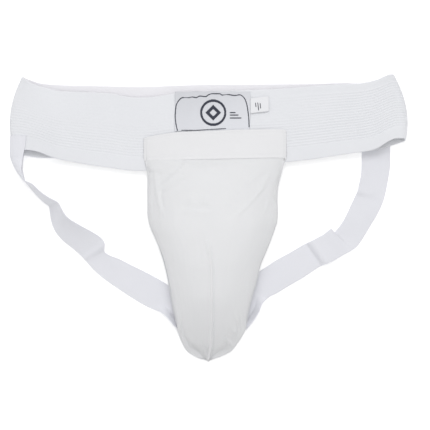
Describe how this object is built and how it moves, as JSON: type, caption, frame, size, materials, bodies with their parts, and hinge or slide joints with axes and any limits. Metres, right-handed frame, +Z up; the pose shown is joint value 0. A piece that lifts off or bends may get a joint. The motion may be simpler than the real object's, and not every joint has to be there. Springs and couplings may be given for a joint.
{
  "type": "groin protector",
  "caption": "Hard cup in a stitched knit pouch on a wide elastic waistband with elastic leg straps, lying flat; the cup slides out of its pocket.",
  "frame": {"origin": "centre of the bounding box on the surface the protector lies on", "axes": "+X along the waistband, +Y from the crotch tip towards the waist, +Z up from the surface"},
  "size_m": [0.4078, 0.2975, 0.0598],
  "materials": {
    "waist_elastic": "ribbed woven elastic, matt",
    "strap_elastic": "flat woven elastic, matt",
    "pouch_knit": "fine cotton knit, matt",
    "hem_knit": "doubled cotton knit, matt",
    "lining_knit": "cotton knit, matt",
    "twill_tape": "cotton twill tape, matt",
    "label_cloth": "woven label, fine sheen",
    "label_print": "dark yarn woven into the label",
    "satin": "satin ribbon, soft sheen",
    "tag_print": "printed ink",
    "thread": "polyester thread",
    "cup_plastic": "moulded, fine texture",
    "cushion_rubber": "soft thermoplastic rubber, satin"
  },
  "bodies": {
    "garment": {"waistband": "waist_elastic", "waistband_joint_tape": "twill_tape", "waistband_joint_stitching": "thread", "front_label": "label_cloth", "label_border": "label_print", "label_emblem": "label_print", "pouch_back_panel": "lining_knit", "pouch_front": "pouch_knit", "pouch_dart_seam": "pouch_knit", "pouch_side_seam_left": "pouch_knit", "pouch_side_seam_right": "pouch_knit", "pouch_hem_band": "hem_knit", "hem_stitching": "thread", "pouch_to_band_stitching": "thread", "leg_strap_left": "strap_elastic", "leg_strap_right": "strap_elastic", "strap_tack_upper_left": "thread", "strap_tack_upper_right": "thread", "strap_tack_lower_left": "thread", "strap_tack_lower_right": "thread"},
    "cup": {"cup_shell": "cup_plastic", "cup_cushion": "cushion_rubber"},
    "tag": {"size_tag": "satin", "size_mark": "tag_print"}
  },
  "joints": [
    {"name": "cup_slide", "type": "slide", "parent": "garment", "child": "cup", "axis": [0.0305, 0.9984, 0.0471], "range_m": [0, 0.235], "deforming": ["pouch_front", "pouch_dart_seam", "pouch_hem_band", "hem_stitching"]},
    {"name": "tag_flip", "type": "hinge", "parent": "garment", "child": "tag", "pos_m": [0.0422, 0.1148, 0.0114], "axis": [0, -1, 0], "range_deg": [0, 178]}
  ]
}
